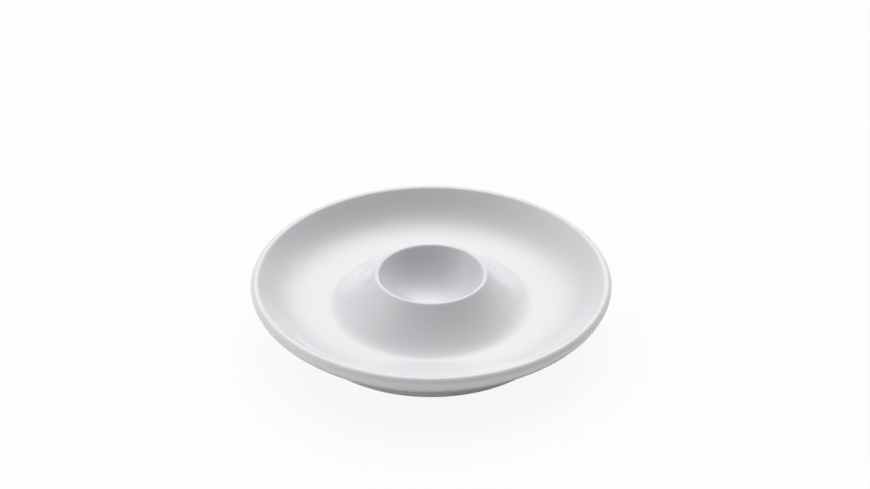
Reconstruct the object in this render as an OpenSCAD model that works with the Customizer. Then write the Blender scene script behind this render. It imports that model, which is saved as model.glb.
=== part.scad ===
// Egg cup with its own tray, in glazed hard porcelain.
// One turned body stands on a bare foot ring. Its glaze is two separate coats,
// one over the face and one over the underside, which the bare foot keeps apart.
// Every part is one section turned about Z. Lengths are in millimetres, angles in degrees.

/* [Tray] */
// Widest diameter, just under the rim
tray_d = 145; // [130:1:175]
// Height of the rim's crest above the table
rim_h = 21.85; // [20:0.05:26]
// Radius of the rim's inner edge
rim_inner_r = 1.9; // [1.5:0.1:2.2]
// Radius of the rim's outer edge
rim_outer_r = 1.9; // [1.5:0.1:2.2]
// Distance from the rim's crest out to the widest circle
rim_reach = 2.1; // [1.9:0.1:2.6]
// Distance from the rim's crest down to the widest circle
rim_drop = 2; // [1.7:0.1:2.6]
// Height of the tray's floor above the table
floor_h = 8.9; // [8.2:0.1:9.4]
// Thickness that the tray's wall keeps halfway up
tray_wall_t = 4; // [3.2:0.1:4.2]

/* [Egg cup] */
// Clear opening between the lips, for a hen's egg
mouth_d = 41.6; // [36:0.2:49]
// Height of the lip above the table
cup_h = 23.35; // [21:0.05:28]
// Thickness of the lip
lip_t = 2.2; // [1.8:0.1:2.8]
// Height of the well's lowest point above the table
well_h = 8.1; // [7.4:0.1:10]
// Slope of the well's side where it meets the lip
well_slope = 69; // [66:1:80]
// Slope of the flank where it meets the lip
flank_slope = 55; // [53:1:66]

/* [Foot] */
// Outside diameter of the foot ring where it stands
foot_d = 106.6; // [88:0.2:126]
// Height of the foot ring outside
foot_h = 4.2; // [3.6:0.1:4.8]
// Width of the foot ring
foot_w = 4.4; // [3.6:0.1:5.4]
// Height of the foot's bare band, wiped clean of glaze
bare_h = 0.9; // [0.7:0.1:1.1]
// Radius of the foot's standing edges
foot_edge_r = 0.6; // [0.4:0.1:0.8]
// Radius of the fillets at the foot's root
foot_fillet_r = 1; // [0.8:0.1:1.2]

/* [Walls] */
// Thickness of the wall under the flank, the floor and the well
cup_wall_t = 3.6; // [3.2:0.1:4.2]
// Narrowest width of the groove under the lip
groove_w = 3.2; // [2.6:0.1:4]
// Thickness of the glaze
glaze_t = 0.25; // [0.2:0.01:0.35]

/* [Hidden] */
$fn = 128;

// Pieces of straight line that stand for one curve
curve_steps = 16;
edge_steps = 5;
lip_steps = 12;
// Heights at which the groove is tried for its width
groove_steps = 100;

tray_r = tray_d / 2;
crest_r = tray_r - rim_reach;
mouth_r = mouth_d / 2;
lip_r = lip_t / 2;
foot_r = foot_d / 2;
ceiling_h = floor_h - cup_wall_t;

// Slope of the rim's outer edge where it ends, and of the outside wall where it meets the foot
rim_outer_slope = 42;
foot_root_slope = 34;
// Draught of the foot's sides
foot_draught = 2;

// How far the trough's lowest circle lies from the lip towards the foot
trough_share = 0.61;
// Lengths of the curves' handles, as shares of the straight lines between their ends
rim_shares = [0.35, 0.35];
outside_shares = [0.22, 0.32];
well_shares = [0.375, 0.375];
flank_shares = [0.3, 0.22];
arch_shares = [0.62, 0.62];
// Handle of the tray's wall on the floor, as a share of the floor left to the outside wall
wall_floor_share = 0.86;

// Plane geometry
function unit(a) = [cos(a), sin(a)];
function left_of(v) = [-v[1], v[0]];
function direction(a, b) = (b - a) / norm(b - a);
function angle_of(v) = atan2(v[1], v[0]);
function reverse(line) = [for (i = [len(line) - 1:-1:0]) line[i]];
function last(line) = line[len(line) - 1];
function tail(line) = [for (i = [1:len(line) - 1]) line[i]];

// Points of an arc, from the angle a to the angle b
function arc(centre, r, a, b, steps = edge_steps) =
    [for (i = [0:steps]) centre + r * unit(a + (b - a) * i / steps)];

// Point at the share t of the curve from p to q, which c and d steer
function curve_point(p, c, d, q, t) =
    let (s = 1 - t)
    s * s * s * p + 3 * s * s * t * c + 3 * s * t * t * d + t * t * t * q;

function curve(p, c, d, q) =
    [for (i = [0:curve_steps]) curve_point(p, c, d, q, i / curve_steps)];

// The curve from p, which it leaves along u, to q, where it arrives along v
function sweep(p, u, q, v, shares) =
    curve(p, p + shares[0] * norm(q - p) * u, q - shares[1] * norm(q - p) * v, q);

// The line moved to its left by the distance. Its ends move square to first and last_way
function moved(line, distance, first, last_way) =
    let (end = len(line) - 1)
    [for (i = [0:end])
        let (way = i == 0 ? first : i == end ? last_way : direction(line[i - 1], line[i + 1]))
        line[i] + distance * left_of(way)];

// The radius of a line at a height, on a line that rises all the way
function radius_at(line, h) = lookup(h, [for (p = line) [p[1], p[0]]]);

// Face of the piece, drawn from the axis outwards, with the air on its left

// The lip is a half round between the well and the flank
lip_centre = [mouth_r + lip_r, cup_h - lip_r];
lip_line = arc(lip_centre, lip_r, 90 + well_slope, 90 - flank_slope, lip_steps);

// The well is a bowl from the axis up to the lip
well_line = sweep([0, well_h], unit(0), lip_line[0], unit(well_slope), well_shares);

// The flank falls from the lip and runs out level on the floor
trough_r = mouth_r + lip_t + trough_share * (foot_r - mouth_r - lip_t);
trough_point = [trough_r, floor_h];
flank_line = sweep(last(lip_line), unit(-flank_slope), trough_point, unit(0), flank_shares);

// The rim's outer edge runs down to the widest circle
rim_outer_centre = [crest_r, rim_h - rim_outer_r];
rim_outer_line = arc(rim_outer_centre, rim_outer_r, 90, 90 - rim_outer_slope);
widest_point = [tray_r, rim_h - rim_drop];
rim_side_line = sweep(last(rim_outer_line), unit(-rim_outer_slope), widest_point,
    unit(-90), rim_shares);

// The foot's outside, from its standing edge up to its root, has its own fillet
foot_root_r = foot_r + foot_h * tan(foot_draught);
foot_root_centre = [foot_root_r + foot_fillet_r, foot_h - foot_fillet_r];
foot_root_line = arc(foot_root_centre, foot_fillet_r, 90 + foot_root_slope, 180 - foot_draught);
foot_bare_point = [foot_r + bare_h * tan(foot_draught), bare_h];

// The outside wall runs under the tray, from the widest circle in to the foot
outside_line = sweep(widest_point, unit(-90), foot_root_line[0],
    unit(180 + foot_root_slope), outside_shares);

// The inside wall rises from the floor to the rim. A point over the middle of the
// outside wall steers it
outside_middle = outside_line[curve_steps / 2];
outside_way = direction(outside_line[curve_steps / 2 + 1], outside_middle);
wall_guide = outside_middle + tray_wall_t * left_of(outside_way);
rim_inner_centre = [crest_r, rim_h - rim_inner_r];
guide_to_centre = rim_inner_centre - wall_guide;
wall_slope = angle_of(guide_to_centre) + asin(rim_inner_r / norm(guide_to_centre));
rim_inner_line = arc(rim_inner_centre, rim_inner_r, 90 + wall_slope, 90);
wall_floor_r = trough_r + wall_floor_share * (radius_at(reverse(outside_line), floor_h) - trough_r);
wall_line = curve(trough_point, [wall_floor_r, floor_h], wall_guide, rim_inner_line[0]);

face_line = concat(
    well_line, tail(lip_line), tail(flank_line), tail(wall_line), tail(rim_inner_line),
    tail(rim_outer_line), tail(rim_side_line), tail(outside_line), tail(foot_root_line),
    [foot_bare_point]);

// Underside, drawn from the foot inwards to the axis, with the air on its left

foot_in_r = foot_r - foot_w;
foot_in_root_r = foot_in_r - ceiling_h * tan(foot_draught);
foot_in_bare_point = [foot_in_r - bare_h * tan(foot_draught), bare_h];
ceiling_root_centre = [foot_in_root_r - foot_fillet_r, ceiling_h - foot_fillet_r];
ceiling_root_line = arc(ceiling_root_centre, foot_fillet_r, foot_draught, 90);

// Under the flank and under the well the wall keeps its thickness
under_flank = reverse(moved(flank_line, -cup_wall_t, unit(-flank_slope), unit(0)));
under_well = moved(well_line, -cup_wall_t, unit(0), unit(well_slope));

// Between them an arch closes the groove, at the greatest height where it is wide enough
groove_heights = [for (i = [1:groove_steps])
    ceiling_h + (cup_h - ceiling_h) * i / groove_steps];
groove_top = max([for (h = groove_heights)
    if (radius_at(under_flank, h) - radius_at(under_well, h) >= groove_w) h]);
groove_outside = [for (p = under_flank) if (p[1] < groove_top - glaze_t) p];
groove_inside = reverse([for (p = under_well) if (p[1] < groove_top - glaze_t) p]);
arch_from = [radius_at(under_flank, groove_top), groove_top];
arch_to = [radius_at(under_well, groove_top), groove_top];
arch_line = sweep(arch_from, direction(last(groove_outside), arch_from), arch_to,
    direction(arch_to, groove_inside[0]), arch_shares);

underside_line = concat(
    [foot_in_bare_point], ceiling_root_line, groove_outside, arch_line, groove_inside);

// The body lies one glaze thickness under both lines
face_ways = [unit(0), direction(foot_bare_point, [foot_r, 0])];
underside_ways = [direction([foot_in_r, 0], foot_in_bare_point), unit(180)];
body_face = moved(face_line, -glaze_t, face_ways[0], face_ways[1]);
body_underside = moved(underside_line, -glaze_t, underside_ways[0], underside_ways[1]);

// The foot stands bare between the coats
stand_out_r = last(body_face)[0] - foot_edge_r;
stand_in_r = body_underside[0][0] + foot_edge_r;
foot_stand = concat(
    arc([stand_out_r, foot_edge_r], foot_edge_r, 0, -90),
    arc([stand_in_r, foot_edge_r], foot_edge_r, -90, -180));

// A coat between a line and the body under it
module coat(line, under) {
    polygon(concat(line, reverse(under)));
}

module porcelain_body() {
    color("whitesmoke")
    rotate_extrude()
    polygon(concat(body_face, foot_stand, body_underside));
}

module face_glaze() {
    color("white")
    rotate_extrude()
    coat(face_line, body_face);
}

module underside_glaze() {
    color("ghostwhite")
    rotate_extrude()
    coat(underside_line, body_underside);
}

porcelain_body();
face_glaze();
underside_glaze();
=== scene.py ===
import math

import bmesh
import bpy
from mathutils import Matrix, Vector


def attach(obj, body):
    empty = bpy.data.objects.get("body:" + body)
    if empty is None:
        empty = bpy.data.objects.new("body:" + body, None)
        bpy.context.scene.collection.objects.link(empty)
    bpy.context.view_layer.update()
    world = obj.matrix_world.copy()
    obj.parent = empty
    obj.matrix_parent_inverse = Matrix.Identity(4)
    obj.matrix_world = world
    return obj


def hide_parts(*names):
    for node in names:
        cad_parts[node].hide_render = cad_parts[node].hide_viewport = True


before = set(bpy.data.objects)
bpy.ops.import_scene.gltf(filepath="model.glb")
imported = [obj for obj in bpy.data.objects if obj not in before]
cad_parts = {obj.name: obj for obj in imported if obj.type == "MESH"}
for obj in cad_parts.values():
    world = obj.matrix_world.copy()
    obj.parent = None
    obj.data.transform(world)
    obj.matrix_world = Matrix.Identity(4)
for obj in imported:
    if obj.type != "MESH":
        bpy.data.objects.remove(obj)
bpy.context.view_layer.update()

# Porcelain body: hard-paste porcelain, turned in one piece and fired. Only the foot's ground
# standing ring shows, as the two coats of glaze cover the rest. Its section is in millimetres,
# drawn from the axis outwards over the face, then from the foot inwards over the underside.

# Tray and rim
tray_d = 145
rim_h = 21.85
rim_inner_r = 1.9
rim_outer_r = 1.9
rim_outer_slope = 42
rim_reach = 2.1
rim_drop = 2
floor_h = 8.9
tray_wall_t = 4

# Well, lip and flank
mouth_d = 41.6
cup_h = 23.35
lip_t = 2.2
well_h = 8.1
well_slope = 69
flank_slope = 55

# Foot
foot_d = 106.6
foot_h = 4.2
foot_w = 4.4
bare_h = 0.9
foot_edge_r = 0.6
foot_fillet_r = 1
foot_root_slope = 34
foot_draught = 2

# Wall and glaze
cup_wall_t = 3.6
groove_w = 3.2
glaze_t = 0.25

# Shares that place the trough and bend the curves
trough_share = 0.61
wall_floor_share = 0.86
rim_shares = (0.35, 0.35)
outside_shares = (0.22, 0.32)
well_shares = (0.375, 0.375)
flank_shares = (0.3, 0.22)
arch_shares = (0.62, 0.62)

# Steps of the curves and of the turn
groove_steps = 100
curve_steps = 24
edge_steps = 8
turn_steps = 192

# The scene is in metres, and edges up to the limit are shaded smooth
millimetre = 0.001
same_place = 0.000001
smooth_limit = math.radians(40)


def point(r, z):
    return Vector((r, z))


def unit(degrees):
    return point(math.cos(math.radians(degrees)), math.sin(math.radians(degrees)))


def left_of(way):
    return point(-way.y, way.x)


def arc(centre, r, start, end):
    steps = range(edge_steps + 1)
    return [centre + r * unit(start + (end - start) * i / edge_steps) for i in steps]


def curve_point(p, c, d, q, t):
    s = 1 - t
    return s**3 * p + 3 * s**2 * t * c + 3 * s * t**2 * d + t**3 * q


def curve(p, c, d, q):
    return [curve_point(p, c, d, q, i / curve_steps) for i in range(curve_steps + 1)]


def sweep(p, leaving, q, arriving, shares):
    """The curve from p, which it leaves along one way, to q, where it arrives along another."""
    reach = (q - p).length
    return curve(p, p + shares[0] * reach * leaving, q - shares[1] * reach * arriving, q)


def moved(line, distance, first_way, last_way):
    """The line moved to its left. Its ends move square to the first and the last way."""
    ways = [(b - a).normalized() for a, b in zip(line, line[2:])]
    ways = [first_way] + ways + [last_way]
    return [p + distance * left_of(way) for p, way in zip(line, ways)]


def radius_at(line, height):
    """The radius at which the line passes the height, or None where it doesn't."""
    for a, b in zip(line, line[1:]):
        if min(a.y, b.y) <= height <= max(a.y, b.y) and a.y != b.y:
            return a.x + (b.x - a.x) * (height - a.y) / (b.y - a.y)


def turned(name, section):
    """The section spun about the axis into a closed shape."""
    shape = bmesh.new()
    verts = [shape.verts.new((p.x * millimetre, 0, p.y * millimetre)) for p in section]
    edges = [shape.edges.new(pair) for pair in zip(verts, verts[1:])]
    bmesh.ops.spin(shape, geom=verts + edges, cent=(0, 0, 0), axis=(0, 0, 1),
                   angle=math.tau, steps=turn_steps, use_merge=True)
    bmesh.ops.remove_doubles(shape, verts=shape.verts[:], dist=same_place)
    bmesh.ops.recalc_face_normals(shape, faces=shape.faces[:])
    for face in shape.faces:
        face.smooth = True
    mesh = bpy.data.meshes.new(name)
    shape.to_mesh(mesh)
    shape.free()
    mesh.set_sharp_from_angle(angle=smooth_limit)
    piece = bpy.data.objects.new(name, mesh)
    bpy.context.scene.collection.objects.link(piece)
    return piece


def linear(colour):
    """An sRGB hex colour as linear RGBA."""
    parts = [int(colour[i:i + 2], 16) / 255 for i in (1, 3, 5)]
    return [v / 12.92 if v <= 0.04045 else ((v + 0.055) / 1.055)**2.4 for v in parts] + [1]


def material(name):
    made = bpy.data.materials.new(name)
    made.use_nodes = True
    made.node_tree.nodes.clear()
    return made


def node(owner, kind, links=None, **settings):
    """A node of the owner's tree, with its inputs set or linked and its properties set."""
    added = owner.node_tree.nodes.new(kind)
    for name, value in settings.items():
        setattr(added, name, value)
    for name, value in (links or {}).items():
        if isinstance(value, bpy.types.NodeSocket):
            owner.node_tree.links.new(value, added.inputs[name])
        else:
            added.inputs[name].default_value = value
    return added


mouth_r = mouth_d / 2
lip_r = lip_t / 2
foot_r = foot_d / 2
tray_r = tray_d / 2
crest_r = tray_r - rim_reach
ceiling_h = floor_h - cup_wall_t
draught = math.tan(math.radians(foot_draught))

# The face: well, lip, flank, tray wall, rolled rim, outside wall and the foot's outside
lip_centre = point(mouth_r + lip_r, cup_h - lip_r)
lip = arc(lip_centre, lip_r, 90 + well_slope, 90 - flank_slope)
well = sweep(point(0, well_h), unit(0), lip[0], unit(well_slope), well_shares)
trough_r = mouth_r + lip_t + trough_share * (foot_r - mouth_r - lip_t)
trough = point(trough_r, floor_h)
flank = sweep(lip[-1], unit(-flank_slope), trough, unit(0), flank_shares)

rim_outer_centre = point(crest_r, rim_h - rim_outer_r)
rim_outer = arc(rim_outer_centre, rim_outer_r, 90, 90 - rim_outer_slope)
widest = point(tray_r, rim_h - rim_drop)
rim_side = sweep(rim_outer[-1], unit(-rim_outer_slope), widest, unit(-90), rim_shares)
foot_root_centre = point(foot_r + foot_h * draught + foot_fillet_r, foot_h - foot_fillet_r)
foot_root = arc(foot_root_centre, foot_fillet_r, 90 + foot_root_slope, 180 - foot_draught)
foot_bare = point(foot_r + bare_h * draught, bare_h)
outside = sweep(widest, unit(-90), foot_root[0], unit(180 + foot_root_slope), outside_shares)

# A point over the middle of the outside wall steers the tray's wall
middle = curve_steps // 2
outside_way = (outside[middle] - outside[middle + 1]).normalized()
wall_guide = outside[middle] + tray_wall_t * left_of(outside_way)
rim_inner_centre = point(crest_r, rim_h - rim_inner_r)
to_centre = rim_inner_centre - wall_guide
centre_slope = math.atan2(to_centre.y, to_centre.x)
wall_slope = math.degrees(centre_slope + math.asin(rim_inner_r / to_centre.length))
rim_inner = arc(rim_inner_centre, rim_inner_r, 90 + wall_slope, 90)
wall_floor_r = trough_r + wall_floor_share * (radius_at(outside, floor_h) - trough_r)
wall = curve(trough, point(wall_floor_r, floor_h), wall_guide, rim_inner[0])

face = (well + lip[1:] + flank[1:] + wall[1:] + rim_inner[1:] + rim_outer[1:] + rim_side[1:]
        + outside[1:] + foot_root[1:] + [foot_bare])

# The underside: the foot's inside, the ceiling, and the groove under the lip
foot_in_r = foot_r - foot_w
foot_in_bare = point(foot_in_r - bare_h * draught, bare_h)
ceiling_root_r = foot_in_r - ceiling_h * draught - foot_fillet_r
ceiling_root_centre = point(ceiling_root_r, ceiling_h - foot_fillet_r)
ceiling_root = arc(ceiling_root_centre, foot_fillet_r, foot_draught, 90)
under_flank = moved(flank, -cup_wall_t, unit(-flank_slope), unit(0))[::-1]
under_well = moved(well, -cup_wall_t, unit(0), unit(well_slope))

# An arch closes the groove at the greatest height where it is still wide enough
for i in range(1, groove_steps + 1):
    height = ceiling_h + (cup_h - ceiling_h) * i / groove_steps
    out_r = radius_at(under_flank, height)
    in_r = radius_at(under_well, height)
    if out_r and in_r and out_r - in_r >= groove_w:
        arch_out_r = out_r
        arch_in_r = in_r
        arch_h = height
groove_out = [p for p in under_flank if p.y < arch_h - glaze_t]
groove_in = [p for p in under_well if p.y < arch_h - glaze_t][::-1]
arch_from = point(arch_out_r, arch_h)
arch_to = point(arch_in_r, arch_h)
arch = sweep(arch_from, (arch_from - groove_out[-1]).normalized(), arch_to,
             (groove_in[0] - arch_to).normalized(), arch_shares)
underside = [foot_in_bare] + ceiling_root + groove_out + arch + groove_in

# The body lies one glaze thickness inside both lines, and stands bare between the coats
down_foot = (point(foot_r, 0) - foot_bare).normalized()
up_foot = (foot_in_bare - point(foot_in_r, 0)).normalized()
body_face = moved(face, -glaze_t, unit(0), down_foot)
body_underside = moved(underside, -glaze_t, up_foot, unit(180))
stand_out = point(body_face[-1].x - foot_edge_r, foot_edge_r)
stand_in = point(body_underside[0].x + foot_edge_r, foot_edge_r)
foot_stand = arc(stand_out, foot_edge_r, 0, -90) + arc(stand_in, foot_edge_r, -90, -180)
porcelain_body = turned("ground_porcelain_body", body_face + foot_stand + body_underside)

# Bare hard-paste porcelain, ground level on the foot: matt, a little warmer than the glaze,
# with a grain of about 0.15 mm that is drawn at 0.4 mm so that it shows.
grain_size = 0.0004
grain_depth = 0.00005
bare_porcelain = material("bare hard-paste porcelain, ground")
place = node(bare_porcelain, "ShaderNodeTexCoord").outputs["Object"]
grain = node(bare_porcelain, "ShaderNodeTexNoise",
             {"Vector": place, "Scale": 1 / grain_size, "Detail": 3.0})
tone = node(bare_porcelain, "ShaderNodeMix", {"Factor": grain.outputs["Fac"]}, data_type="RGBA")
tone.inputs[6].default_value = linear("#E4E0D8")
tone.inputs[7].default_value = linear("#EFECE6")
relief = node(bare_porcelain, "ShaderNodeBump",
              {"Height": grain.outputs["Fac"], "Strength": 0.5, "Distance": grain_depth})
surface = node(bare_porcelain, "ShaderNodeBsdfPrincipled",
               {"Base Color": tone.outputs[2], "Roughness": 0.75, "IOR": 1.5,
                "Normal": relief.outputs["Normal"]})
node(bare_porcelain, "ShaderNodeOutputMaterial", {"Surface": surface.outputs["BSDF"]})
porcelain_body.data.materials.append(bare_porcelain)
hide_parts("porcelain_body")
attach(porcelain_body, "root")

# Face glaze: the clear feldspar glaze that the piece is dipped in, 0.25 mm thick when fired.
# It covers the well, lip, flank, tray and rim and runs down the outside to the foot's bare
# band, where it was wiped off before the firing.
face_glaze = turned("face_glaze_coat", face + body_face[::-1])

# Glazed hard porcelain: a cool white body under a clear, fired glaze that mirrors a little.
# Its tone drifts over 30 mm, where the glaze has pooled, and its surface waves by about a
# hundredth of a millimetre over 8 mm, which only the edge of a reflection shows.
pool_size = 0.030
wave_size = 0.008
wave_depth = 0.00003
glazed_porcelain = material("glazed hard porcelain, cool white")
place = node(glazed_porcelain, "ShaderNodeTexCoord").outputs["Object"]
pooling = node(glazed_porcelain, "ShaderNodeTexNoise",
               {"Vector": place, "Scale": 1 / pool_size, "Detail": 2.0})
tone = node(glazed_porcelain, "ShaderNodeMix", {"Factor": pooling.outputs["Fac"]}, data_type="RGBA")
tone.inputs[6].default_value = linear("#E6E5E9")
tone.inputs[7].default_value = linear("#E8E8EB")
waves = node(glazed_porcelain, "ShaderNodeTexNoise",
             {"Vector": place, "Scale": 1 / wave_size, "Detail": 1.0})
relief = node(glazed_porcelain, "ShaderNodeBump",
              {"Height": waves.outputs["Fac"], "Strength": 0.3, "Distance": wave_depth})
surface = node(glazed_porcelain, "ShaderNodeBsdfPrincipled",
               {"Base Color": tone.outputs[2], "Roughness": 0.1, "IOR": 1.5,
                "Normal": relief.outputs["Normal"]})
node(glazed_porcelain, "ShaderNodeOutputMaterial", {"Surface": surface.outputs["BSDF"]})
face_glaze.data.materials.append(glazed_porcelain)
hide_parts("face_glaze")
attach(face_glaze, "root")

# Underside glaze: the same dip of glaze inside the foot ring, over the ceiling, the groove
# under the lip and the underside of the well. It also stops at the foot's bare band.
underside_glaze = turned("underside_glaze_coat", underside[::-1] + body_underside)
underside_glaze.data.materials.append(glazed_porcelain)
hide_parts("underside_glaze")
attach(underside_glaze, "root")

# Table: a sheet of white studio paper under the piece, wide enough to fill the view. The
# camera sees most of it as plain white, with the piece's soft shadow kept on it.
table_side = 3.0
shown_white = 0.9
table_shape = bmesh.new()
bmesh.ops.create_grid(table_shape, x_segments=1, y_segments=1, size=table_side / 2)
table_mesh = bpy.data.meshes.new("table")
table_shape.to_mesh(table_mesh)
table_shape.free()
table = bpy.data.objects.new("table", table_mesh)
bpy.context.scene.collection.objects.link(table)
paper = material("white studio paper")
matt = node(paper, "ShaderNodeBsdfPrincipled", {"Base Color": linear("#F2F2F2"), "Roughness": 0.9})
bright = node(paper, "ShaderNodeEmission", {"Color": linear("#FFFFFF"), "Strength": 1.0})
rays = node(paper, "ShaderNodeLightPath")
seen = node(paper, "ShaderNodeMath", {0: rays.outputs["Is Camera Ray"], 1: shown_white},
            operation="MULTIPLY")
mixed = node(paper, "ShaderNodeMixShader",
             {0: seen.outputs[0], 1: matt.outputs[0], 2: bright.outputs[0]})
node(paper, "ShaderNodeOutputMaterial", {"Surface": mixed.outputs[0]})
table_mesh.materials.append(paper)

# Studio light: a white tent round the table, lit from outside. Its wall glows most behind
# and above the piece, less on the left and round the tent's foot. Over its foot, the side of
# the camera is the darkest. The camera itself sees plain white behind the table.
even_light = 0.095
foot_strength = 0.82
foot_top = 0.25
foot_lean = (-0.29, -0.45, 0)
tent = bpy.data.worlds.new("white tent")
tent.use_nodes = True
tent.node_tree.nodes.clear()
way = node(tent, "ShaderNodeTexCoord").outputs["Generated"]


def glow(azimuth, elevation, strength, falloff):
    """The light of a bright place on the tent's wall, which fades all round it."""
    a = math.radians(azimuth)
    e = math.radians(elevation)
    centre = (math.sin(a) * math.cos(e), -math.cos(a) * math.cos(e), math.sin(e))
    near = node(tent, "ShaderNodeVectorMath", {0: way, 1: centre}, operation="DOT_PRODUCT")
    ahead = node(tent, "ShaderNodeMath", {0: near.outputs["Value"], 1: 0.0}, operation="MAXIMUM")
    fading = node(tent, "ShaderNodeMath", {0: ahead.outputs[0], 1: falloff}, operation="POWER")
    return node(tent, "ShaderNodeMath", {0: fading.outputs[0], 1: strength}, operation="MULTIPLY")


behind = glow(azimuth=172, elevation=52, strength=3.46, falloff=8.3)
overhead = glow(azimuth=175, elevation=75, strength=0.52, falloff=8)
right_behind = glow(azimuth=140, elevation=30, strength=0.56, falloff=12)
left_behind = glow(azimuth=220, elevation=35, strength=0.59, falloff=12)
left = glow(azimuth=271, elevation=24, strength=1.17, falloff=7.9)

# The foot's glow fades upwards and leans a little to the left and to the camera
height = node(tent, "ShaderNodeSeparateXYZ", {0: way}).outputs["Z"]
fade = node(tent, "ShaderNodeMapRange",
            {"Value": height, "From Max": foot_top, "To Min": foot_strength, "To Max": 0.0})
lean = node(tent, "ShaderNodeVectorMath", {0: way, 1: foot_lean}, operation="DOT_PRODUCT")
uneven = node(tent, "ShaderNodeMath", {0: lean.outputs["Value"], 1: 1.0}, operation="ADD")
foot = node(tent, "ShaderNodeMath", {0: fade.outputs[0], 1: uneven.outputs[0]}, operation="MULTIPLY")

light = even_light
for part in (behind, overhead, right_behind, left_behind, left, foot):
    light = node(tent, "ShaderNodeMath", {0: light, 1: part.outputs[0]}, operation="ADD").outputs[0]
white = linear("#FFFFFF")
wall_light = node(tent, "ShaderNodeBackground", {"Color": white, "Strength": light})
backdrop = node(tent, "ShaderNodeBackground", {"Color": white, "Strength": 1.0})
rays = node(tent, "ShaderNodeLightPath")
seen = node(tent, "ShaderNodeMixShader",
            {0: rays.outputs["Is Camera Ray"], 1: wall_light.outputs[0], 2: backdrop.outputs[0]})
node(tent, "ShaderNodeOutputWorld", {"Surface": seen.outputs[0]})
bpy.context.scene.world = tent

# Camera: a 102 mm lens, one metre away and 33.5 degrees above the table, fitted to the
# photograph's outline. It looks a little over the piece, so the piece sits low in the frame.
camera_distance = 1.0
camera_elevation = math.radians(33.5)
nearest_seen = 0.01
axis_point = Vector((0, 0, 0.010))
aim = axis_point + Vector((0.00157, 0.01256, 0.01898))
camera_way = Vector((0, -math.cos(camera_elevation), math.sin(camera_elevation)))
lens = bpy.data.cameras.new("camera")
lens.sensor_width = 36
lens.lens = 102.33
lens.clip_start = nearest_seen
camera = bpy.data.objects.new("camera", lens)
bpy.context.scene.collection.objects.link(camera)
camera.location = axis_point + camera_distance * camera_way
camera.rotation_euler = (camera.location - aim).to_track_quat("Z", "Y").to_euler()
bpy.context.scene.camera = camera

bpy.context.scene.view_settings.view_transform = "Standard"
